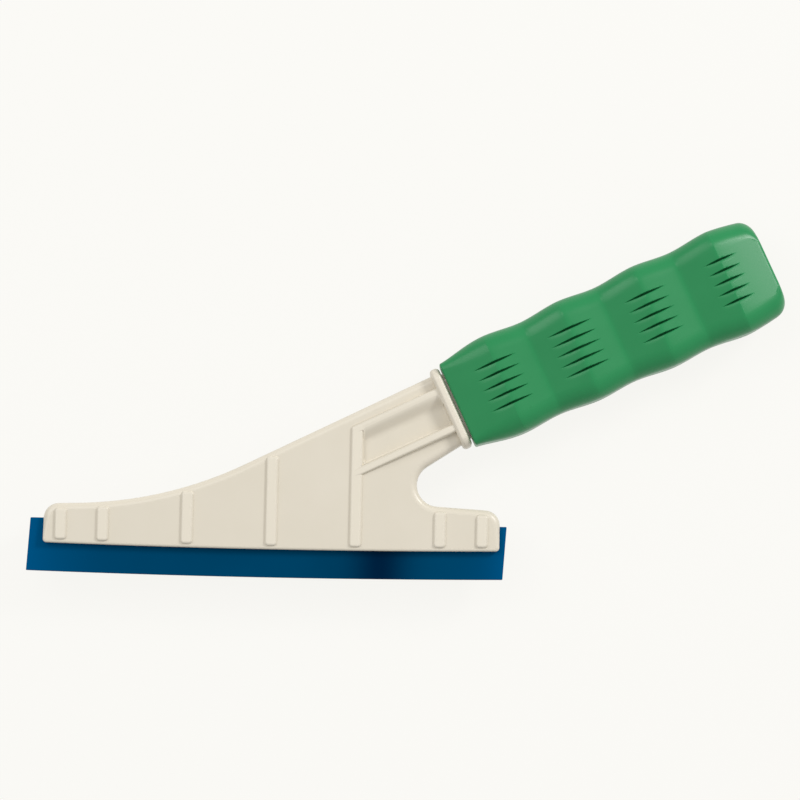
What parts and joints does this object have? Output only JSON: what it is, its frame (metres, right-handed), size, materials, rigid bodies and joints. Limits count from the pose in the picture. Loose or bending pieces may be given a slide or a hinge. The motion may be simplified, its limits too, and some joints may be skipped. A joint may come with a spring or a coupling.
{
  "type": "window film squeegee",
  "caption": "Angled hand squeegee for window film: a blue blade in a cream ribbed holder, with a green waisted soft grip set aslant to the blade.",
  "frame": {"origin": "middle of the underside of the lying tool's bounding box", "axes": "+X along the blade towards the grip's end, +Y from the wiping edge towards the grip, +Z out of the ribbed front face"},
  "size_m": [0.3214, 0.1556, 0.0317],
  "materials": {
    "shell": "satin moulded cream plastic",
    "blade": "smooth blue cast polyurethane",
    "grip": "semi-matte green soft sleeve",
    "screw": "bright zinc plate"
  },
  "bodies": {
    "holder": {"front_shell": "shell", "rear_shell": "shell", "screw_1": "screw", "screw_2": "screw", "screw_3": "screw", "screw_4": "screw", "screw_5": "screw", "screw_6": "screw", "screw_neck": "screw"},
    "blade": {"blade": "blade"},
    "grip": {"grip": "grip"}
  },
  "joints": [
    {"name": "blade_slide", "type": "slide", "parent": "holder", "child": "blade", "axis": [1, 0, 0], "range_m": [-0.205, 0.205]},
    {"name": "grip_pull", "type": "slide", "parent": "holder", "child": "grip", "axis": [0.9018, 0.4321, 0], "range_m": [0, 0.125]}
  ]
}
